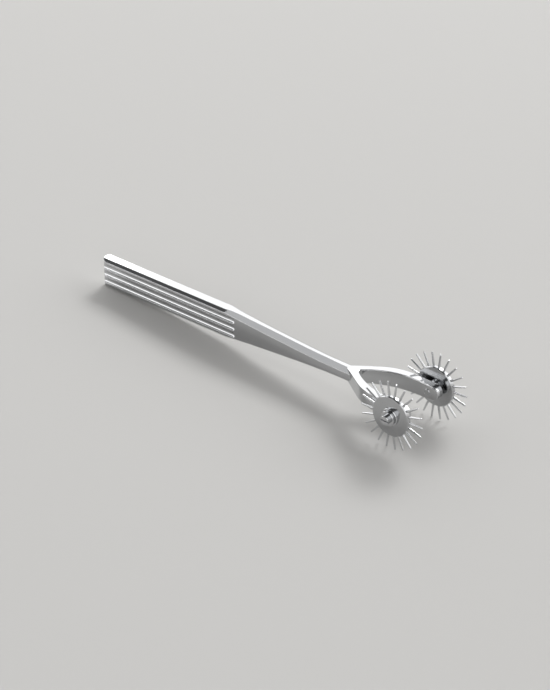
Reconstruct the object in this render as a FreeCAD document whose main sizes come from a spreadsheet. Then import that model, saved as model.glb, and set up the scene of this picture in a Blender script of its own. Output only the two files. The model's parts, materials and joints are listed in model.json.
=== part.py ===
# Neurological pinwheel: a flat polished steel handle whose forked end carries two free spinning
# wheels, each a steel disc with radial pins. The wheels test how skin senses pin pricks.
#
# Two working frames are used before the pieces are placed.
# Handle frame: the axle line is Y through the origin, the handle runs towards minus X.
# Axle frame of each side: Z is the axle, pointing outwards, with zero at the middle of the fork.
# In the finished part +X runs from the tail to the wheels and the instrument lies on Z = 0.
import FreeCAD, Part
import os
import re

import Sketcher
from FreeCAD import Vector

# Driving dimensions in millimetres and counts, with what each one is.
SIZES = (
    # Lengths along the handle, from the axle line
    ("axle_to_tail", 161.0, "axle line to the tail end of the handle"),
    ("axle_to_neck", 92.0, "axle line to where the grip starts to narrow"),
    ("arm_overhang", 2.0, "centre of the rounded arm end beyond the axle line"),
    # Grip
    ("grip_height", 12.8, "height of the broad grooved faces with their edges"),
    ("grip_thickness", 6.14, "thickness across the broad faces"),
    ("grip_edge", 1.14, "drop and width of the grip's long edge bevels"),
    ("tail_radius", 2.9, "rounding of the tail corners, seen from above"),
    ("groove_radius", 1.25, "radius of the round grooves"),
    ("groove_depth", 0.75, "depth of the grooves below the broad faces"),
    ("groove_runout", 4.5, "neck start to the centre of the grooves' round ends"),
    # Neck
    ("neck_thickness", 6.1, "thickness of the neck"),
    ("neck_flat", 1.66, "width of the neck's narrow top and bottom flats"),
    ("neck_height", 5.74, "height of the neck where it meets the fork"),
    ("neck_edge", 1.4, "drop of the bevels where the neck meets the fork"),
    # Fork
    ("fork_inside", 16.2, "clear width between the two arms"),
    ("arm_thickness", 3.4, "thickness of an arm across the fork"),
    ("arm_height", 5.8, "height of an arm at its rounded end"),
    ("arm_swell", 0.45, "how far the arms bulge in height between root and end"),
    ("fork_root_height", 5.4, "height of the fork where it grows out of the neck"),
    ("flare_angle", 33.0, "angle of the flaring arm to the handle, in degrees"),
    ("flare_outer_radius", 24.0, "bend of the arm's outer side"),
    ("flare_inner_radius", 30.0, "bend of the arm's inner side"),
    ("straight_outer", 8.0, "straight part of the arm's outer side behind the axle line"),
    ("straight_inner", 6.0, "straight part of the arm's inner side behind the axle line"),
    ("crotch_radius", 1.2, "rounding at the root of the fork"),
    ("shoulder_radius", 4.0, "rounding where the fork leaves the neck"),
    ("arm_edge", 0.3, "rounding of the arm edges"),
    # Axle screw and washers
    ("spacer_radius", 2.6, "outer radius of the spacer washer"),
    ("spacer_thickness", 1.22, "thickness of the spacer washer"),
    ("journal_radius", 1.5, "smooth part of the axle screw, which the wheel runs on"),
    ("thread_radius", 1.2, "threaded end of the axle screw, modelled plain"),
    ("thread_proud", 0.25, "how far the screw's end stands out of the arm's inner face"),
    ("collar_radius", 3.0, "outer radius of the retaining washer"),
    ("collar_thickness", 1.15, "thickness of the retaining washer"),
    ("head_radius", 1.9, "radius of the screw head"),
    ("head_height", 1.64, "height of the screw head"),
    ("slot_width", 0.55, "width of the screwdriver slot"),
    ("slot_depth", 0.7, "depth of the screwdriver slot"),
    ("hardware_edge", 0.18, "bevel on the edges of the turned hardware"),
    # Wheel
    ("disc_radius", 8.3, "radius of the wheel disc"),
    ("disc_thickness", 1.84, "thickness of the wheel disc"),
    ("disc_edge", 0.35, "bevel on the rim of the disc"),
    ("sleeve_radius", 2.4, "outer radius of the hub bush inside the disc"),
    ("flange_radius", 3.6, "radius of the hub bush's flange"),
    ("flange_thickness", 0.75, "thickness of the hub bush's flange"),
    ("bush_proud", 0.1, "how far the bush stands out of the disc's inner face"),
    ("pin_count", 22, "pins in each wheel"),
    ("pin_radius", 0.47, "radius of a pin's shank"),
    ("pin_seat", 2.2, "depth of a pin in the rim"),
    ("pin_reach", 5.9, "how far the pins stand out of the rim"),
    ("tip_taper", 5.0, "length of the tapering end of a pin"),
    ("tip_radius", 0.35, "radius of the pin's blunt end, where its nose starts"),
    ("nose_height", 0.28, "height of the pin's nose"),
    ("nose_radius", 0.14, "radius of the flat left on the nose"),
    # Fits
    ("running_clearance", 0.05, "radial clearance of the bush on the journal"),
    ("washer_clearance", 0.03, "radial clearance of the washers on the journal"),
    ("seat_clearance", 0.01, "radial gap of pins, bush and thread in their seats"),
    ("end_play", 0.1, "gap at each end of the bush"),
    # How the instrument lies: the lowest pin of each wheel leans back from upright
    ("right_pin_lean", 4.6, "lean of the right wheel's lowest pin towards the tail, in degrees"),
    ("left_pin_lean", 2.9, "lean of the left wheel's lowest pin towards the tail, in degrees"),
    ("overrun", 1.0, "how far cutting shapes run past what they cut"),
)

# Sections of the neck between the grip and the fork: how far along, then how much of the grip's
# height, flat and thickness beyond the neck's own is left there. The bevels follow the flat.
NECK_SECTION_SHARES = (
    (0.0, 1.0, 1.0, 1.0),
    (0.06, 0.95, 0.48, 0.95),
    (0.2, 0.75, 0.17, 0.45),
    (0.36, 0.54, 0.0, 0.0),
    (0.53, 0.325, 0.0, 0.0),
    (0.69, 0.145, 0.0, 0.0),
    (0.85, 0.03, 0.0, 0.0),
    (1.0, 0.0, 0.0, 0.0),
)

# Share of the grip's height between one groove and the next, centred on the grip.
GROOVE_PITCH_SHARE = 0.247
GROOVES_PER_SIDE = 3

FULL_TURN = 360.0

document = FreeCAD.newDocument("neurological_pinwheel")


def fill_sheet():
    """Write the driving dimensions into the spreadsheet, one named cell each."""
    sheet = document.addObject("Spreadsheet::Sheet", "Sizes")
    for row, (alias, value, meaning) in enumerate(SIZES, start=1):
        sheet.set("A%d" % row, alias)
        sheet.set("B%d" % row, str(value))
        sheet.set("C%d" % row, meaning)
        sheet.setAlias("B%d" % row, alias)
    document.recompute()
    return sheet


sizes = fill_sheet()


def cells(expression):
    """Put the sheet's name before each alias in an expression."""
    named = "|".join(alias for alias, _, _ in SIZES)
    return re.sub(r"\b(" + named + r")\b", r"Sizes.\1", expression)


def value_of(expression):
    """The number that an expression of the sheet's aliases gives now."""
    return float(sizes.evalExpression(cells(expression)))


def bind(item, **expressions):
    """Tie properties of a document object to the sheet; a double underscore stands for a dot."""
    for name, expression in expressions.items():
        item.setExpression(name.replace("__", "."), cells(expression))


def add(kind, name, **properties):
    """Add a document object and set its plain properties."""
    item = document.addObject(kind, name)
    for key, value in properties.items():
        setattr(item, key, value)
    return item


# Sketches

def pin_point(sketch, geometry, end, across, along):
    """Hold one end of a line or arc at the place given by two expressions."""
    for kind, axis, expression in (("DistanceX", -2, across), ("DistanceY", -1, along)):
        if expression == "0":
            sketch.addConstraint(Sketcher.Constraint("PointOnObject", geometry, end, axis))
            continue
        value = value_of(expression)
        sketch.addConstraint(Sketcher.Constraint(kind, -1, 1, geometry, end, value))
        sketch.setExpression("Constraints[%d]" % (sketch.ConstraintCount - 1), cells(expression))


def arc_between(start, end, radius, turn):
    """An arc of a circle from start to end that turns left (1) or right (-1) on its way."""
    chord = end - start
    half = chord.Length / 2
    rise = radius - max(radius * radius - half * half, 0) ** 0.5
    side = Vector(chord.y, -chord.x, 0).normalize() * turn
    return Part.Arc(start, start + chord / 2 + side * rise, end)


def outline(sketch, corners):
    """Draw a closed outline. A corner is a pair of expressions; a radius expression and a turn
    after them make the stretch to the next corner an arc."""
    points = [Vector(value_of(corner[0]), value_of(corner[1]), 0) for corner in corners]
    count = len(points)
    for index, corner in enumerate(corners):
        start, end = points[index], points[(index + 1) % count]
        if len(corner) == 2:
            sketch.addGeometry(Part.LineSegment(start, end), False)
        else:
            sketch.addGeometry(arc_between(start, end, value_of(corner[2]), corner[3]), False)
    # An arc that turns right is stored the other way round, so its ends are swapped.
    first = [2 if len(corner) == 4 and corner[3] < 0 else 1 for corner in corners]
    for index, corner in enumerate(corners):
        following = (index + 1) % count
        joint = Sketcher.Constraint("Coincident", index, 3 - first[index], following, first[following])
        sketch.addConstraint(joint)
        pin_point(sketch, index, first[index], corner[0], corner[1])
        if len(corner) == 4:
            sketch.addConstraint(Sketcher.Constraint("Radius", index, value_of(corner[2])))
            sketch.setExpression("Constraints[%d]" % (sketch.ConstraintCount - 1), cells(corner[2]))


def free_sketch(name, placement, corners):
    """A sketch outside any body, held in its plane by a placement expression."""
    sketch = add("Sketcher::SketchObject", name)
    bind(sketch, Placement=placement)
    outline(sketch, corners)
    return sketch


def body_sketch(body, name, role, corners, offset="0"):
    """A sketch on one of a body's own origin planes, moved along the plane's normal."""
    sketch = body.newObject("Sketcher::SketchObject", name)
    plane = next(item for item in body.Origin.OriginFeatures if item.Role == role)
    sketch.AttachmentSupport = [(plane, "")]
    sketch.MapMode = "FlatFace"
    if offset != "0":
        bind(sketch, AttachmentOffset__Base__z=offset)
    outline(sketch, corners)
    return sketch


# Planes of the handle frame that the free sketches lie in
def cross_plane(place):
    """The plane across the handle at a place along it: its X is Y, its Y is Z."""
    return "placement(vector(%s; 0; 0); rotation(vector(1; 1; 1); 120))" % place


TOP_PLANE = "placement(vector(0; 0; 0); rotation(vector(0; 0; 1); 0))"
SIDE_PLANE = "placement(vector(0; 0; 0); rotation(vector(1; 0; 0); 90))"


# Places of the assembled instrument
GRIP_HALF = "(grip_height / 2)"
LEAST_LEAN = "min(right_pin_lean; left_pin_lean)"
TIP_CIRCLE = "(disc_radius + pin_reach)"
AXLE_HEIGHT = "(%s * cos(%s) + nose_radius * sin(%s))" % (TIP_CIRCLE, LEAST_LEAN, LEAST_LEAN)
TILT = "(asin(%s / hypot(axle_to_tail; %s)) - atan(%s / axle_to_tail))" % (
    AXLE_HEIGHT, GRIP_HALF, GRIP_HALF)
TAIL_REACH = "(axle_to_tail * cos(%s) + %s * sin(%s))" % (TILT, GRIP_HALF, TILT)
AXLE_AT = "vector((%s - %s) / 2; 0; %s)" % (TAIL_REACH, TIP_CIRCLE, AXLE_HEIGHT)
HANDLE_PLACE = "placement(%s; rotation(vector(0; 1; 0); -%s))" % (AXLE_AT, TILT)


def axle_place(outward):
    """The axle frame of one side: outward is -1 on the right and 1 on the left."""
    return "placement(%s; rotation(vector(1; 0; 0); %d * 90))" % (AXLE_AT, -outward)


def wheel_turn(side, outward):
    """Angle about the axle frame's Z that brings pin 1 to the ground, leaning to the tail."""
    return "(%d * 90 - %d * %s_pin_lean)" % (outward, -outward, side)


def wheel_place(side, outward):
    """The axle frame of one side, turned so that pin 1 is the lowest."""
    turn = wheel_turn(side, outward)
    return "placement(%s; rotation(vector(1; 0; 0); %d * 90) * rotation(vector(0; 0; 1); %s))" % (
        AXLE_AT, -outward, turn)


# Handle: grip, neck and fork are one forging

def octagon(name, place, half_flat, half_side, half_height, edge):
    """A cross section with flat sides, flat top and bottom and four bevels."""
    waist = "(%s - %s)" % (half_height, edge)
    quarter = ((half_flat, half_height), (half_side, waist))
    corners = [quarter[0], quarter[1]]
    corners += [(across, "-" + up) for across, up in reversed(quarter)]
    corners += [("-" + across, "-" + up) for across, up in quarter]
    corners += [("-" + across, up) for across, up in reversed(quarter)]
    return free_sketch(name, cross_plane(place), corners)


def extrusion(name, base, length, symmetric=True):
    """A sketch drawn out along its normal."""
    item = add("Part::Extrusion", name, Base=base, DirMode="Normal", Solid=True)
    item.Symmetric = symmetric
    bind(item, LengthFwd=length)
    return item


def grip():
    """The straight bevelled bar with its tail corners rounded."""
    section = octagon("grip_section", "-axle_to_tail", "(grip_thickness / 2 - grip_edge)",
                      "(grip_thickness / 2)", GRIP_HALF, "grip_edge")
    bar = extrusion("grip_bar", section, "axle_to_tail - axle_to_neck", False)
    half, round_at = "(grip_thickness / 2)", "(tail_radius - axle_to_tail)"
    corner = "(grip_thickness / 2 - tail_radius)"
    plan = free_sketch("grip_plan", TOP_PLANE, (
        ("-axle_to_neck", "-" + half),
        ("-axle_to_neck", half),
        (round_at, half, "tail_radius", 1),
        ("-axle_to_tail", corner),
        ("-axle_to_tail", "-" + corner, "tail_radius", 1),
        (round_at, "-" + half),
    ))
    rounding = extrusion("grip_rounding", plan, "grip_height + overrun")
    return add("Part::Common", "grip", Base=bar, Tool=rounding)


def neck_section(number, along, height, flat, thickness):
    """One section of the neck; the shares say how much of the grip is left there."""
    place = "(-axle_to_neck + %s * (axle_to_neck + %s))" % (along, SHOULDER_END)
    half_flat = "(neck_flat / 2 + %s * (grip_thickness - 2 * grip_edge - neck_flat) / 2)" % flat
    half_side = "(neck_thickness / 2 + %s * (grip_thickness - neck_thickness) / 2)" % thickness
    half_height = "(neck_height / 2 + %s * (grip_height - neck_height) / 2)" % height
    edge = "(neck_edge + %s * (grip_edge - neck_edge))" % flat
    return octagon("neck_section_%d" % number, place, half_flat, half_side, half_height, edge)


# Plan of the fork: the arm's sides are tangent arcs about a straight flare.
ARM_OUTSIDE = "(fork_inside / 2 + arm_thickness)"
ARM_END = "(arm_overhang + arm_height / 2)"
FLARE_TOP = ("(-straight_outer - flare_outer_radius * sin(flare_angle))",
             "(%s - flare_outer_radius * (1 - cos(flare_angle)))" % ARM_OUTSIDE)
SHOULDER = "(%s - (%s - neck_flat / 2) / tan(flare_angle))" % FLARE_TOP
SHOULDER_RUN = "(shoulder_radius * tan(flare_angle / 2))"
FORK_ROOT = "(%s - %s)" % (SHOULDER, SHOULDER_RUN)
# The neck ends where the flare has grown wider than the neck.
SHOULDER_END = "(%s + (neck_thickness - neck_flat) / 2 / tan(flare_angle))" % SHOULDER
GAP_CENTRE = "(fork_inside / 2 - flare_inner_radius)"
CROTCH_REACH = "sqrt((flare_inner_radius - crotch_radius) ^ 2 - %s ^ 2)" % GAP_CENTRE
CROTCH_CENTRE = "(-straight_inner - %s)" % CROTCH_REACH
CROTCH_SCALE = "(flare_inner_radius / (flare_inner_radius - crotch_radius))"


def fork():
    """The two arms: the plan seen from above and the side view, cut from each other."""
    plan = free_sketch("fork_plan", TOP_PLANE, (
        (FORK_ROOT, "0"),
        (FORK_ROOT, "(neck_flat / 2)", "shoulder_radius", 1),
        ("(%s + %s * cos(flare_angle))" % (SHOULDER, SHOULDER_RUN),
         "(neck_flat / 2 + %s * sin(flare_angle))" % SHOULDER_RUN),
        FLARE_TOP + ("flare_outer_radius", -1),
        ("-straight_outer", ARM_OUTSIDE),
        (ARM_END, ARM_OUTSIDE),
        (ARM_END, "(fork_inside / 2)"),
        ("-straight_inner", "(fork_inside / 2)", "flare_inner_radius", 1),
        ("(-straight_inner - %s * %s)" % (CROTCH_REACH, CROTCH_SCALE),
         "(%s - %s * %s)" % (GAP_CENTRE, GAP_CENTRE, CROTCH_SCALE), "crotch_radius", 1),
        ("(%s - crotch_radius)" % CROTCH_CENTRE, "0"),
    ))
    arm = extrusion("arm_blank", plan, "arm_height + fork_root_height + 2 * arm_swell")
    other_arm = add("Part::Mirroring", "other_arm_blank", Source=arm, Normal=Vector(0, 1, 0))
    blank = add("Part::Fuse", "fork_blank", Base=arm, Tool=other_arm, Refine=True)

    half_end, half_root = "(arm_height / 2)", "(fork_root_height / 2)"
    run = "hypot(arm_overhang - %s; %s - %s)" % (FORK_ROOT, half_end, half_root)
    swell_radius = "(%s ^ 2 / 8 / arm_swell + arm_swell / 2)" % run
    profile = free_sketch("fork_profile", SIDE_PLANE, (
        (FORK_ROOT, "-" + half_root),
        (FORK_ROOT, half_root, swell_radius, -1),
        ("arm_overhang", half_end, half_end, -1),
        (ARM_END, "0", half_end, -1),
        ("arm_overhang", "-" + half_end, swell_radius, -1),
    ))
    side_view = extrusion("fork_side_view", profile, "3 * %s" % ARM_OUTSIDE)
    sharp = add("Part::Common", "sharp_fork", Base=blank, Tool=side_view, Refine=True)
    document.recompute()
    # Every curved edge runs round the arms; the straight ones are corners that stay or are buried.
    radius = value_of("arm_edge")
    edges = [(index, radius, radius) for index, edge in enumerate(sharp.Shape.Edges, start=1)
             if edge.Curve.TypeId != "Part::GeomLine"]
    return add("Part::Fillet", "fork", Base=sharp, Edges=edges)


def grooves():
    """Cutters of the lengthwise grooves on both broad faces, with round ends."""
    cutters = []
    beside = "(grip_thickness / 2 + groove_radius - groove_depth)"
    length = "axle_to_tail - axle_to_neck + groove_runout + overrun"
    for side in (-1, 1):
        for number in range(GROOVES_PER_SIDE):
            steps = number - (GROOVES_PER_SIDE - 1) / 2
            up = "%s * %s * grip_height" % (steps, GROOVE_PITCH_SHARE)
            place = "placement(vector(%s; %d * %s; %s); rotation(vector(0; 1; 0); 90))"
            name = "groove_%s_%d" % ("right" if side < 0 else "left", number + 1)
            channel = add("Part::Cylinder", name)
            bind(channel, Radius="groove_radius", Height=length,
                 Placement=place % ("-axle_to_tail - overrun", side, beside, up))
            end = add("Part::Sphere", name + "_end")
            bind(end, Radius="groove_radius",
                 Placement=place % ("-axle_to_neck + groove_runout", side, beside, up))
            cutters += [channel, end]
    return cutters


def axle_hole():
    """Cutter of the screw holes through both arms."""
    hole = add("Part::Cylinder", "axle_hole")
    bind(hole, Radius="thread_radius + seat_clearance", Height="2 * %s + 2 * overrun" % ARM_OUTSIDE,
         Placement="placement(vector(0; %s + overrun; 0); rotation(vector(1; 0; 0); 90))" % ARM_OUTSIDE)
    return hole


def handle_fork():
    """The one-piece handle: grip, neck and fork joined, grooves and axle holes cut."""
    sections = [neck_section(number, *shares)
                for number, shares in enumerate(NECK_SECTION_SHARES, start=1)]
    neck = add("Part::Loft", "neck", Sections=sections, Solid=True, Ruled=False)
    forging = add("Part::MultiFuse", "forging", Shapes=[grip(), neck, fork()], Refine=True)
    cutters = add("Part::MultiFuse", "handle_cutters", Shapes=grooves() + [axle_hole()])
    handle = add("Part::Cut", "handle_fork", Base=forging, Tool=cutters)
    bind(handle, Placement=HANDLE_PLACE)
    return handle


# Turned hardware, each piece revolved about Z of its axle frame

def turned(label, corners):
    """A body revolved about Z from a half section of (radius, height) expressions."""
    body = add("PartDesign::Body", label)
    section = body_sketch(body, label + "_section", "XZ_Plane", corners)
    spin = body.newObject("PartDesign::Revolution", label + "_spin")
    spin.Profile = section
    spin.ReferenceAxis = (section, ["V_Axis"])
    spin.Angle = FULL_TURN
    section.Visibility = False
    return body


SPACER_TOP = "(%s + spacer_thickness)" % ARM_OUTSIDE
BUSH_BOTTOM = "(%s + end_play)" % SPACER_TOP
DISC_BOTTOM = "(%s + bush_proud)" % BUSH_BOTTOM
DISC_TOP = "(%s + disc_thickness)" % DISC_BOTTOM
DISC_MIDDLE = "(%s + disc_thickness / 2)" % DISC_BOTTOM
BUSH_TOP = "(%s + flange_thickness)" % DISC_TOP
COLLAR_BOTTOM = "(%s + end_play)" % BUSH_TOP
COLLAR_TOP = "(%s + collar_thickness)" % COLLAR_BOTTOM
HEAD_TOP = "(%s + head_height)" % COLLAR_TOP
WASHER_BORE = "(journal_radius + washer_clearance)"


def ring(label, bore, radius, bottom, top):
    """A washer with its outer edges bevelled."""
    return turned(label, (
        (bore, bottom),
        ("(%s - hardware_edge)" % radius, bottom),
        (radius, "(%s + hardware_edge)" % bottom),
        (radius, "(%s - hardware_edge)" % top),
        ("(%s - hardware_edge)" % radius, top),
        (bore, top),
    ))


def axle_screw(label):
    """Slotted screw: head outside, smooth journal, threaded end through the arm."""
    inner_end = "(fork_inside / 2 - thread_proud)"
    body = turned(label, (
        ("0", inner_end),
        ("(thread_radius - hardware_edge)", inner_end),
        ("thread_radius", "(%s + hardware_edge)" % inner_end),
        ("thread_radius", ARM_OUTSIDE),
        ("journal_radius", ARM_OUTSIDE),
        ("journal_radius", COLLAR_TOP),
        ("head_radius", COLLAR_TOP),
        ("head_radius", "(%s - hardware_edge)" % HEAD_TOP),
        ("(head_radius - hardware_edge)", HEAD_TOP),
        ("0", HEAD_TOP),
    ))
    half_width, reach = "(slot_width / 2)", "(head_radius + overrun)"
    mouth = body_sketch(body, label + "_slot_mouth", "XY_Plane", (
        ("-" + reach, "-" + half_width),
        (reach, "-" + half_width),
        (reach, half_width),
        ("-" + reach, half_width),
    ), offset=HEAD_TOP)
    slot = body.newObject("PartDesign::Pocket", label + "_slot")
    slot.Profile = mouth
    bind(slot, Length="slot_depth")
    mouth.Visibility = False
    return body


def hub_bush(label):
    """Flanged bush pressed into the disc; it runs on the screw's journal."""
    bore = "(journal_radius + running_clearance)"
    return turned(label, (
        (bore, BUSH_BOTTOM),
        ("sleeve_radius", BUSH_BOTTOM),
        ("sleeve_radius", DISC_TOP),
        ("flange_radius", DISC_TOP),
        ("flange_radius", "(%s - hardware_edge)" % BUSH_TOP),
        ("(flange_radius - hardware_edge)", BUSH_TOP),
        (bore, BUSH_TOP),
    ))


def wheel_disc(label):
    """Flat disc with a bevelled rim, bored for the bush and drilled for each pin."""
    bore = "(sleeve_radius + seat_clearance)"
    body = turned(label, (
        (bore, DISC_BOTTOM),
        ("(disc_radius - disc_edge)", DISC_BOTTOM),
        ("disc_radius", "(%s + disc_edge)" % DISC_BOTTOM),
        ("disc_radius", "(%s - disc_edge)" % DISC_TOP),
        ("(disc_radius - disc_edge)", DISC_TOP),
        (bore, DISC_TOP),
    ))
    document.recompute()
    drill = body.newObject("Sketcher::SketchObject", label + "_drill")
    plane = next(item for item in body.Origin.OriginFeatures if item.Role == "YZ_Plane")
    drill.AttachmentSupport = [(plane, "")]
    drill.MapMode = "FlatFace"
    bind(drill, AttachmentOffset__Base__z="disc_radius + overrun")
    radius = value_of("pin_radius + seat_clearance")
    middle = Vector(0, value_of(DISC_MIDDLE), 0)
    drill.addGeometry(Part.Circle(middle, Vector(0, 0, 1), radius), False)
    pin_point(drill, 0, 3, "0", DISC_MIDDLE)
    drill.addConstraint(Sketcher.Constraint("Radius", 0, radius))
    drill.setExpression("Constraints[%d]" % (drill.ConstraintCount - 1),
                        cells("pin_radius + seat_clearance"))
    hole = body.newObject("PartDesign::Pocket", label + "_pin_hole")
    hole.Profile = drill
    bind(hole, Length="overrun + pin_seat")
    drill.Visibility = False
    document.recompute()
    pattern = body.newObject("PartDesign::PolarPattern", label + "_pin_holes")
    pattern.Originals = [hole]
    axis = next(item for item in body.Origin.OriginFeatures if item.Role == "Z_Axis")
    pattern.Axis = (axis, [""])
    pattern.Angle = FULL_TURN
    bind(pattern, Occurrences="pin_count")
    body.Tip = pattern
    return body


def pin(label):
    """A pin along Z: seated shank, long taper and a small blunt nose."""
    root = "(disc_radius - pin_seat)"
    return turned(label, (
        ("0", root),
        ("pin_radius", root),
        ("pin_radius", "(%s - tip_taper)" % TIP_CIRCLE),
        ("tip_radius", "(%s - nose_height)" % TIP_CIRCLE),
        ("nose_radius", TIP_CIRCLE),
        ("0", TIP_CIRCLE),
    ))


def wheel(side, outward):
    """One wheel: disc, bush and its pins, set to the angle at which it stands."""
    place = wheel_place(side, outward)
    pieces = [wheel_disc(side + "_wheel_disc"), hub_bush(side + "_hub_bush")]
    for piece in pieces:
        bind(piece, Placement=place)
    count = int(value_of("pin_count"))
    for number in range(count):
        piece = pin("%s_pin_%02d" % (side, number + 1))
        radial = "placement(vector(0; 0; %s); rotation(vector(0; 0; 1); %d * 360 / pin_count) * " \
                 "rotation(vector(0; 1; 0); 90))" % (DISC_MIDDLE, number)
        bind(piece, Placement="%s * %s" % (place, radial))
        pieces.append(piece)
    return pieces


def axle(side, outward):
    """The fixed hardware of one side: spacer, screw and retaining washer."""
    pieces = [
        ring(side + "_spacer_washer", WASHER_BORE, "spacer_radius", ARM_OUTSIDE, SPACER_TOP),
        axle_screw(side + "_axle_screw"),
        ring(side + "_retaining_washer", WASHER_BORE, "collar_radius", COLLAR_BOTTOM, COLLAR_TOP),
    ]
    for piece in pieces:
        bind(piece, Placement=axle_place(outward))
    return pieces


def build():
    """Every piece of the instrument, right side first."""
    pieces = [handle_fork()]
    for side, outward in (("right", -1), ("left", 1)):
        pieces += axle(side, outward) + wheel(side, outward)
    document.recompute()
    return pieces


def check(pieces):
    """Stop if any object failed or any piece is empty or invalid."""
    for item in document.Objects:
        if {"Invalid", "Error"} & set(item.State):
            raise RuntimeError("%s failed: %s" % (item.Name, item.State))
    for piece in pieces:
        if piece.Shape.isNull() or not piece.Shape.isValid():
            raise RuntimeError("%s has no valid shape" % piece.Label)
    disc = next(piece for piece in pieces if piece.Label == "right_wheel_disc")
    plain = document.getObject("right_wheel_disc_spin").Shape.Volume
    drilled = value_of("pin_count * pin_seat * pi * (pin_radius + seat_clearance) ^ 2")
    print("pin holes take %.2f of %.2f mm3 drilled" % (plain - disc.Shape.Volume, drilled))


def export(pieces):
    """Write each piece to its own file."""
    os.makedirs("parts", exist_ok=True)
    whole = FreeCAD.BoundBox()
    for piece in pieces:
        piece.Shape.exportStep("parts/%s.step" % piece.Label)
        whole.add(piece.Shape.BoundBox)
    print("%d pieces, box %.2f x %.2f x %.2f mm" % (
        len(pieces), whole.XLength, whole.YLength, whole.ZLength))
    print("centre X %.3f Y %.3f, lowest Z %.3f" % (whole.Center.x, whole.Center.y, whole.ZMin))


made = build()
check(made)
export(made)
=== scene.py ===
# %% [markdown]
# # A steel pinwheel for testing how skin feels
# The instrument is a flat steel handle that ends in a fork. A wheel set round with pins turns
# freely on the outside of each arm. Its shapes come ready from the CAD model, one mesh for each
# piece, so this lesson is about surfaces and light: how to make plain steel look forged, turned,
# ground and polished, and how to light a mirror so that its form can be read.

# %% Load the model and measure it
import json
import math

import bpy
from mathutils import Matrix, Vector

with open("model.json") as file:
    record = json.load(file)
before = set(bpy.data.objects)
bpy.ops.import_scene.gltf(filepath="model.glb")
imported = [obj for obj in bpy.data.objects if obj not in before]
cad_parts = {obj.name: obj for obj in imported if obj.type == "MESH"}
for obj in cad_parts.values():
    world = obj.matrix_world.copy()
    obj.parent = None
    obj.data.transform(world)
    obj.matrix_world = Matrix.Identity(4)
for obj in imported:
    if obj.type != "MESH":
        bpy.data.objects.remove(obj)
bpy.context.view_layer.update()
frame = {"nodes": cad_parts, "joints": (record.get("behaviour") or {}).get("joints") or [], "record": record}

# %% [markdown]
# ## Where the axle is
# Lathe marks have to be centred on the axle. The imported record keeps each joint's place, so it is
# read from there and never typed twice.

# %% Find the axle line
axle = Vector(frame["joints"][0]["pos_m"])
print("axle line at x, z in mm:", round(1000 * axle.x, 2), round(1000 * axle.z, 2))

# %% [markdown]
# ## Colour
# Colours are chosen on screen as sRGB hex values, but Blender adds up light in linear values. One
# function does the change for every colour below.

# %% Turn hex colours to linear values
def linear(hex_colour):
    """The linear RGBA of an sRGB hex colour such as #C0C0C0."""
    channels = [int(hex_colour[place:place + 2], 16) / 255 for place in (1, 3, 5)]
    return [c / 12.92 if c <= 0.04045 else ((c + 0.055) / 1.055) ** 2.4 for c in channels] + [1.0]


print("polished steel, linear:", [round(value, 3) for value in linear("#C4C5C6")])

# %% [markdown]
# ## One helper for all nodes
# A material is a small network. This helper adds a node, sets what is constant and links the rest,
# so that a network reads from top to bottom like a recipe.

# %% Add a node, start a material, size a pattern
def add_node(tree, kind, settings=None, links=None):
    """Add a node. Settings name properties or sockets; links name sockets fed by other nodes."""
    node = tree.nodes.new(kind)
    for key, value in (settings or {}).items():
        if isinstance(key, int) or key in node.inputs:
            node.inputs[key].default_value = value
        else:
            setattr(node, key, value)
    for key, source in (links or {}).items():
        tree.links.new(source, node.inputs[key])
    return node


def new_material(name):
    """An empty material and its node tree."""
    material = bpy.data.materials.new(name)
    material.use_nodes = True
    material.node_tree.nodes.clear()
    return material, material.node_tree


def per_metre(millimetres):
    """The scale of a noise whose features are that many millimetres across."""
    return 1000.0 / millimetres


MICRON = 1e-6
print("a pattern of 2 mm has the scale", per_metre(2.0))

# %% [markdown]
# ## Marks that polishing leaves
# No steel is a perfect mirror. A buffing wheel leaves the surface faintly wavy, so reflections
# wander a little, and the last grit leaves hairlines in the direction of the work. Waves are a
# noise of several millimetres. Hairlines are a noise that is stretched along the work, which is
# cheaper than an image and never repeats. Both become a bump, and the hairlines also make the
# surface a little less glossy where they lie close together. A noise seldom leaves the middle of
# its range, so that middle is what gets spread over the wanted values.

# %% Waves and hairlines
NOISE_ROUGHNESS = 0.55
NOISE_MIDDLE = (0.3, 0.7)
COARSE, MIDDLING, FINE = 2.0, 3.0, 4.0


def place_of(tree):
    """Points in metres on the resting model; they stay with a piece when it turns."""
    return add_node(tree, "ShaderNodeTexCoord").outputs["Object"]


def stretched_noise(tree, points, sizes_mm, detail):
    """Noise whose features have the given sizes in millimetres along X, Y and Z."""
    scales = [per_metre(size) for size in sizes_mm]
    scaled = add_node(tree, "ShaderNodeVectorMath", {"operation": "MULTIPLY", 1: scales},
                      {0: points})
    return add_node(tree, "ShaderNodeTexNoise",
                    {"Scale": 1.0, "Detail": detail, "Roughness": NOISE_ROUGHNESS},
                    {"Vector": scaled.outputs[0]}).outputs["Fac"]


def between(tree, source, low, high):
    """Spread the middle of a noise over a range of values."""
    return add_node(tree, "ShaderNodeMapRange",
                    {"From Min": NOISE_MIDDLE[0], "From Max": NOISE_MIDDLE[1],
                     "To Min": low, "To Max": high},
                    {"Value": source}).outputs[0]


def bump(tree, height, depth_microns, normal=None):
    """Raise the surface by that many microns where the height is 1."""
    links = {"Height": height}
    if normal is not None:
        links["Normal"] = normal
    return add_node(tree, "ShaderNodeBump",
                    {"Strength": 1.0, "Distance": depth_microns * MICRON}, links).outputs[0]


print("buffing waves and hairlines are ready")

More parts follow.
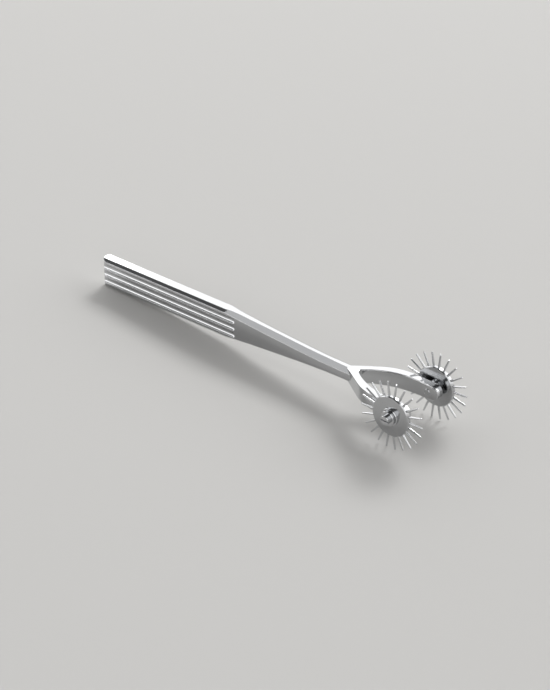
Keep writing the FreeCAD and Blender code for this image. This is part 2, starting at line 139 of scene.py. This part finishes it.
# %% [markdown]
# ## Edges that buffing softens
# The meshes have knife edges where two faces meet. On the real piece the buffing wheel has rounded
# every edge, and each carries a thin line of light. How far is judged here: about a third of
# a millimetre on the long handle and far less on the small turned pieces. A Bevel node bends only
# the shading there, which keeps the CAD shape as it is.

# %% A softened edge
EDGE_SAMPLES = 6


def soft_edge(tree, radius_mm):
    """Shading normals that turn round each edge over the given radius."""
    return add_node(tree, "ShaderNodeBevel",
                    {"samples": EDGE_SAMPLES, "Radius": radius_mm / 1000}).outputs[0]


print("soft edges are ready")

# %% [markdown]
# ## Handle: forged stainless steel, buffed to a mirror
# Grip, neck and fork are one forging. It was ground lengthwise and buffed, so the eye sees nearly
# clean reflections, long hairlines along the handle and a slow waviness. Polished stainless steel
# reflects a little more than half of the light, almost without colour. Real hairlines are a few
# hundredths of a millimetre wide, too fine to show, so they are drawn about 0.35 mm wide.

# %% Mirror-polished handle steel
HANDLE_COLOURS = ("#C3C4C6", "#CFD0D1")
WAVE_SIZES_MM, WAVE_DEPTH_MICRONS = (14.0, 6.0, 6.0), 7.0
HAIRLINE_SIZES_MM, HAIRLINE_DEPTH_MICRONS = (18.0, 0.35, 0.35), 0.5
HANDLE_HAZE_MM = (22.0, 22.0, 22.0)
HANDLE_ROUGHNESS = (0.02, 0.06)
HAIRLINE_ROUGHNESS = 0.05
HANDLE_EDGE_MM = 0.36


def buffed_steel():
    """Forged stainless steel, ground along the handle and buffed."""
    material, tree = new_material("buffed_stainless_steel")
    points = place_of(tree)
    waves = stretched_noise(tree, points, WAVE_SIZES_MM, COARSE)
    hairlines = stretched_noise(tree, points, HAIRLINE_SIZES_MM, FINE)
    haze = stretched_noise(tree, points, HANDLE_HAZE_MM, MIDDLING)
    darker, lighter = [linear(hex_colour) for hex_colour in HANDLE_COLOURS]
    colour = add_node(tree, "ShaderNodeMix", {"data_type": "RGBA", 6: darker, 7: lighter},
                      {0: haze})
    gloss = add_node(tree, "ShaderNodeMath", {"operation": "MULTIPLY_ADD", 1: HAIRLINE_ROUGHNESS},
                     {0: hairlines, 2: between(tree, haze, *HANDLE_ROUGHNESS)})
    normal = bump(tree, waves, WAVE_DEPTH_MICRONS, soft_edge(tree, HANDLE_EDGE_MM))
    normal = bump(tree, hairlines, HAIRLINE_DEPTH_MICRONS, normal)
    shader = add_node(tree, "ShaderNodeBsdfPrincipled", {"Metallic": 1.0},
                      {"Base Color": colour.outputs[2], "Roughness": gloss.outputs[0],
                       "Normal": normal})
    add_node(tree, "ShaderNodeOutputMaterial", links={"Surface": shader.outputs[0]})
    return material


handle_steel = buffed_steel()
print("made", handle_steel.name)

# %% [markdown]
# ## Turned pieces: lathe rings about the axle
# Discs, bushes, washers and screws are turned on a lathe. The tool's point cuts a fine spiral, and
# polishing leaves it as faint rings. The rings are a noise of the distance from the axle line. Real
# feed marks are about 0.05 mm apart, too fine to show, so they are drawn about 0.3 mm apart and
# uneven.

# %% Distance from the axle line, and rings
def axle_distance(tree, points):
    """Distance in metres from the axle line, which runs along Y."""
    offset = add_node(tree, "ShaderNodeVectorMath", {"operation": "SUBTRACT", 1: axle}, {0: points})
    flat = add_node(tree, "ShaderNodeVectorMath", {"operation": "MULTIPLY", 1: (1.0, 0.0, 1.0)},
                    {0: offset.outputs[0]})
    return add_node(tree, "ShaderNodeVectorMath", {"operation": "LENGTH"},
                    {0: flat.outputs[0]}).outputs["Value"]


def lathe_rings(tree, points, pitch_mm):
    """Uneven rings about the axle: noise that changes only with the distance from it."""
    steps = add_node(tree, "ShaderNodeMath", {"operation": "MULTIPLY", 1: per_metre(pitch_mm)},
                     {0: axle_distance(tree, points)})
    return add_node(tree, "ShaderNodeTexNoise",
                    {"noise_dimensions": "1D", "Scale": 1.0, "Detail": MIDDLING},
                    {"W": steps.outputs[0]}).outputs["Fac"]


print("lathe rings are ready")

# %% [markdown]
# Three finishes share the same recipe and differ in colour, gloss and the pitch of their rings. The
# disc is faced flat and shows the rings most. The bushes, washers and screws are bright and small.
# The pins are ground wire: because each pin points away from the axle, rings about the axle cross
# every pin, just as the marks of centreless grinding do.

# %% A recipe for turned and ground steel
TURNED_HAZE_MM = (5.0, 5.0, 5.0)
RING_ROUGHNESS = 0.08
DULLER, GLOSSIER = 0.02, 0.03


def turned_steel(name, colours, roughness, pitch_mm, depth_microns, grain, edge_mm):
    """Steel with marks that run round the axle; grain is how far they stretch the highlights."""
    material, tree = new_material(name)
    points = place_of(tree)
    rings = lathe_rings(tree, points, pitch_mm)
    haze = stretched_noise(tree, points, TURNED_HAZE_MM, MIDDLING)
    darker, lighter = [linear(hex_colour) for hex_colour in colours]
    colour = add_node(tree, "ShaderNodeMix", {"data_type": "RGBA", 6: darker, 7: lighter},
                      {0: haze})
    base_gloss = between(tree, haze, roughness - GLOSSIER, roughness + DULLER)
    gloss = add_node(tree, "ShaderNodeMath", {"operation": "MULTIPLY_ADD", 1: RING_ROUGHNESS},
                     {0: rings, 2: base_gloss})
    normal = bump(tree, rings, depth_microns, soft_edge(tree, edge_mm))
    tangent = add_node(tree, "ShaderNodeTangent", {"direction_type": "RADIAL", "axis": "Y"})
    shader = add_node(tree, "ShaderNodeBsdfPrincipled", {"Metallic": 1.0, "Anisotropic": grain},
                      {"Base Color": colour.outputs[2], "Roughness": gloss.outputs[0],
                       "Normal": normal, "Tangent": tangent.outputs[0]})
    add_node(tree, "ShaderNodeOutputMaterial", links={"Surface": shader.outputs[0]})
    return material


print("the recipe for turned steel is ready")

# %% [markdown]
# The finishes are that recipe with numbers of their own. A facing cut leaves the deepest rings and
# pulls the highlights out most. The hardware is polished more, and the ground pins have the
# shallowest marks and no grain. Each finish then goes by the slot that the record gives it.

# %% Make three finishes and list all four
faced_disc = turned_steel("faced_disc_steel", ("#B6B7B9", "#C2C3C4"), roughness=0.1,
                          pitch_mm=0.3, depth_microns=1.5, grain=0.5, edge_mm=0.06)
turned_hardware = turned_steel("turned_stainless_steel", ("#C0C1C3", "#CBCCCD"), roughness=0.07,
                               pitch_mm=0.25, depth_microns=0.8, grain=0.2, edge_mm=0.05)
ground_pins = turned_steel("ground_pin_steel", ("#C6C7C9", "#D2D3D4"), roughness=0.07,
                           pitch_mm=0.35, depth_microns=0.6, grain=0.0, edge_mm=0.03)
finishes = {
    "polished_handle_steel": handle_steel,
    "disc_steel": faced_disc,
    "turned_hardware_steel": turned_hardware,
    "pin_steel": ground_pins,
}
for slot_name, finish in finishes.items():
    print(slot_name, "->", finish.name)

# %% [markdown]
# ## Give each piece its finish
# The record says which slot each piece takes its material from, so the loop follows the record.

# %% Assign the materials
count = {slot_name: 0 for slot_name in finishes}
for piece in frame["record"]["subparts"]:
    mesh = frame["nodes"][piece["node"]].data
    mesh.materials.clear()
    mesh.materials.append(finishes[piece["material_slot"]])
    count[piece["material_slot"]] += 1
print("pieces in each finish:", count)

# %% [markdown]
# ## Stage: pale paper
# Products stand on seamless paper that curves up far behind them. Here the floor is a wide disc and
# the wall a low ring round it, so that every view, from any side, has the same pale ground. Paper
# is matt with a very fine tooth, drawn 0.5 mm wide. The wall stands inside the ring of lamps and
# ends just below their lower edges, so only the lamps across the room light it. To make up for
# that it glows faintly for the camera and for mirrors, and it lights nothing.

# %% Studio paper
PAPER_COLOUR, PAPER_ROUGHNESS, PAPER_SPECULAR = "#C0BFBD", 0.9, 0.2
TOOTH_SIZES_MM, TOOTH_DEPTH_MICRONS = (0.5, 0.5, 0.5), 12.0
GLOW_COLOUR, WALL_GLOW, GLOW_HEIGHT = "#F4F3F1", 0.5, 0.3


def wall_glow(tree):
    """Light that the wall shows to the camera and to mirrors alone, growing from the floor up."""
    place = add_node(tree, "ShaderNodeNewGeometry").outputs["Position"]
    height = add_node(tree, "ShaderNodeSeparateXYZ", links={0: place}).outputs["Z"]
    wall = add_node(tree, "ShaderNodeMapRange",
                    {"interpolation_type": "SMOOTHSTEP", "From Min": 0.0, "From Max": GLOW_HEIGHT,
                     "To Min": 0.0, "To Max": WALL_GLOW}, {"Value": height}).outputs[0]
    path = add_node(tree, "ShaderNodeLightPath").outputs
    seen = add_node(tree, "ShaderNodeMath", {"operation": "ADD"},
                    {0: path["Is Camera Ray"], 1: path["Is Glossy Ray"]})
    seen = add_node(tree, "ShaderNodeMath", {"operation": "ADD"},
                    {0: seen.outputs[0], 1: path["Is Transmission Ray"]})
    return add_node(tree, "ShaderNodeMath", {"operation": "MULTIPLY"},
                    {0: seen.outputs[0], 1: wall}).outputs[0]


def studio_paper():
    """Matt pale paper with a fine tooth."""
    material, tree = new_material("matt_studio_paper")
    tooth = stretched_noise(tree, place_of(tree), TOOTH_SIZES_MM, MIDDLING)
    shader = add_node(tree, "ShaderNodeBsdfPrincipled",
                      {"Base Color": linear(PAPER_COLOUR), "Roughness": PAPER_ROUGHNESS,
                       "Specular IOR Level": PAPER_SPECULAR, "Emission Color": linear(GLOW_COLOUR)},
                      {"Normal": bump(tree, tooth, TOOTH_DEPTH_MICRONS),
                       "Emission Strength": wall_glow(tree)})
    add_node(tree, "ShaderNodeOutputMaterial", links={"Surface": shader.outputs[0]})
    return material


paper = studio_paper()
print("made", paper.name)

# %% [markdown]
# The sheet is one profile turned about the vertical: flat floor, quarter circle, short wall. It
# could be a curve with a Screw modifier. Points and faces worked out in code keep the radius and
# the wall's height as plain values, and a round floor has no corner that a view could catch.

# %% Floor and wall
FLOOR_RADIUS, SWEEP_RADIUS, WALL_HEIGHT = 3.0, 0.4, 0.5
SIDES, ARC_STEPS = 96, 12


def sweep_profile():
    """Radius and height of each ring of points, from the middle of the floor to the wall's top."""
    flat_radius = FLOOR_RADIUS - SWEEP_RADIUS
    profile = [(0.0, 0.0), (flat_radius, 0.0)]
    for step in range(1, ARC_STEPS + 1):
        angle = math.pi / 2 * step / ARC_STEPS
        profile.append((flat_radius + SWEEP_RADIUS * math.sin(angle),
                        SWEEP_RADIUS * (1 - math.cos(angle))))
    return profile + [(FLOOR_RADIUS, WALL_HEIGHT)]


def paper_sweep():
    """A round floor that curves up into a low wall: a profile turned about Z."""
    profile = sweep_profile()
    turns = [2 * math.pi * side / SIDES for side in range(SIDES)]
    points = [(radius * math.cos(turn), radius * math.sin(turn), height)
              for radius, height in profile for turn in turns]
    faces = [(row * SIDES + side, (row + 1) * SIDES + side,
              (row + 1) * SIDES + (side + 1) % SIDES, row * SIDES + (side + 1) % SIDES)
             for row in range(1, len(profile) - 1) for side in range(SIDES)]
    faces.append(tuple(SIDES + side for side in range(SIDES)))
    mesh = bpy.data.meshes.new("paper_sweep")
    mesh.from_pydata(points, [], faces)
    mesh.shade_smooth()
    mesh.materials.append(paper)
    sweep = bpy.data.objects.new("paper_sweep", mesh)
    bpy.context.scene.collection.objects.link(sweep)
    return sweep


sweep = paper_sweep()
print("paper sweep faces:", len(sweep.data.polygons))

# %% [markdown]
# ## Camera
# The camera was fitted to the photograph: it looks down at 32 degrees from the front right with a
# long lens and a small roll. Its place is given by angles and distances from a point on the ground
# under the axle, as one would set up a tripod.

# %% Place the camera
AZIMUTH, ELEVATION, ROLL = math.radians(39.21), math.radians(32.06), math.radians(2.46)
DISTANCE, ASIDE, ALOFT = 0.70826, -0.05259, 0.03045
FOCAL_PIXELS, IMAGE_HEIGHT = 1883.85, 690
SENSOR = 36.0

back = Vector((math.sin(AZIMUTH) * math.cos(ELEVATION), -math.cos(AZIMUTH) * math.cos(ELEVATION),
               math.sin(ELEVATION)))
right = Vector((math.cos(AZIMUTH), math.sin(AZIMUTH), 0.0))
up = back.cross(right)
rolled_right = math.cos(ROLL) * right + math.sin(ROLL) * up
rolled_up = math.cos(ROLL) * up - math.sin(ROLL) * right

lens = bpy.data.cameras.new("camera")
lens.sensor_width = SENSOR
lens.lens = FOCAL_PIXELS * SENSOR / IMAGE_HEIGHT
lens.clip_start, lens.clip_end = 0.05, 20.0
camera = bpy.data.objects.new("camera", lens)
stand = Vector((axle.x, 0.0, 0.0)) + ASIDE * right + ALOFT * up + DISTANCE * back
facing = Matrix((rolled_right, rolled_up, back)).transposed().to_4x4()
camera.matrix_world = Matrix.Translation(stand) @ facing
bpy.context.scene.collection.objects.link(camera)
bpy.context.scene.camera = camera
print("camera at mm", [round(1000 * value, 1) for value in stand])
print("lens in mm:", round(lens.lens, 1))

# %% [markdown]
# ## Light
# A mirror shows its surroundings, so each lamp is chosen for what a face reflects. The instrument
# stands in a ring of large white panels that is open towards the camera. The flat top of the handle
# mirrors the panel behind it and turns white. The panel overhead makes the neck's wide bevel grey,
# and the low one at the front left draws the light lines in the grooves. The grip's narrow bevel
# mirrors the gap between those two, a dark line beside the white. A smaller and stronger softbox at
# the back throws the shadow towards the camera, and the upright sides, which mirror the floor
# there, stay darker than the paper. Each lamp is given by its place in the object's sky.

# %% Softboxes
LAMP_DISTANCE = 5.0
LAMP_TARGET = Vector((axle.x / 2, 0.0, 0.01))


def softbox(name, azimuth, elevation, width, height, radiance):
    """A lamp that faces the object. All angles are degrees; azimuth runs from +X towards +Y."""
    lamp = bpy.data.lights.new(name, "AREA")
    lamp.shape = "RECTANGLE"
    lamp.size, lamp.size_y = [2 * LAMP_DISTANCE * math.tan(math.radians(angle / 2))
                              for angle in (width, height)]
    lamp.energy = radiance * math.pi * lamp.size * lamp.size_y
    box = bpy.data.objects.new(name, lamp)
    level, turn = math.radians(elevation), math.radians(azimuth)
    way = Vector((math.cos(level) * math.cos(turn), math.cos(level) * math.sin(turn),
                  math.sin(level)))
    box.location = LAMP_TARGET + LAMP_DISTANCE * way
    box.rotation_mode = "QUATERNION"
    box.rotation_quaternion = way.to_track_quat("Z", "Y")
    bpy.context.scene.collection.objects.link(box)
    print(name, round(lamp.size, 2), "by", round(lamp.size_y, 2), "m, W:", round(lamp.energy, 1))
    return box


softbox("key_softbox", azimuth=106, elevation=38, width=21, height=16, radiance=15.0)
softbox("back_panel", azimuth=104, elevation=30, width=71, height=40, radiance=1.6)
softbox("left_panel", azimuth=170, elevation=27, width=59, height=40, radiance=1.9)
softbox("right_panel", azimuth=45, elevation=26, width=49, height=40, radiance=2.1)
softbox("front_right_panel", azimuth=-58, elevation=25, width=46, height=38, radiance=1.3)
softbox("front_left_panel", azimuth=230, elevation=21.5, width=42, height=22, radiance=1.9)
softbox("overhead_panel", azimuth=200, elevation=64, width=42, height=32, radiance=0.62)

# %% [markdown]
# Between the panels the studio is dim, and the steel needs that: the dark gaps are what draws the
# lines between its bright faces.

# %% Dim studio
STUDIO_LEVEL = 0.1

world = bpy.data.worlds.new("dim_studio")
world.use_nodes = True
background = world.node_tree.nodes["Background"]
background.inputs["Color"].default_value = linear("#FFFFFF")
background.inputs["Strength"].default_value = STUDIO_LEVEL
bpy.context.scene.world = world
print("studio level between the panels:", STUDIO_LEVEL)

# %% [markdown]
# ## Colour management
# The Standard view shows colours as they are written, which suits a plain product picture.

# %% Finish
bpy.context.scene.view_settings.view_transform = "Standard"
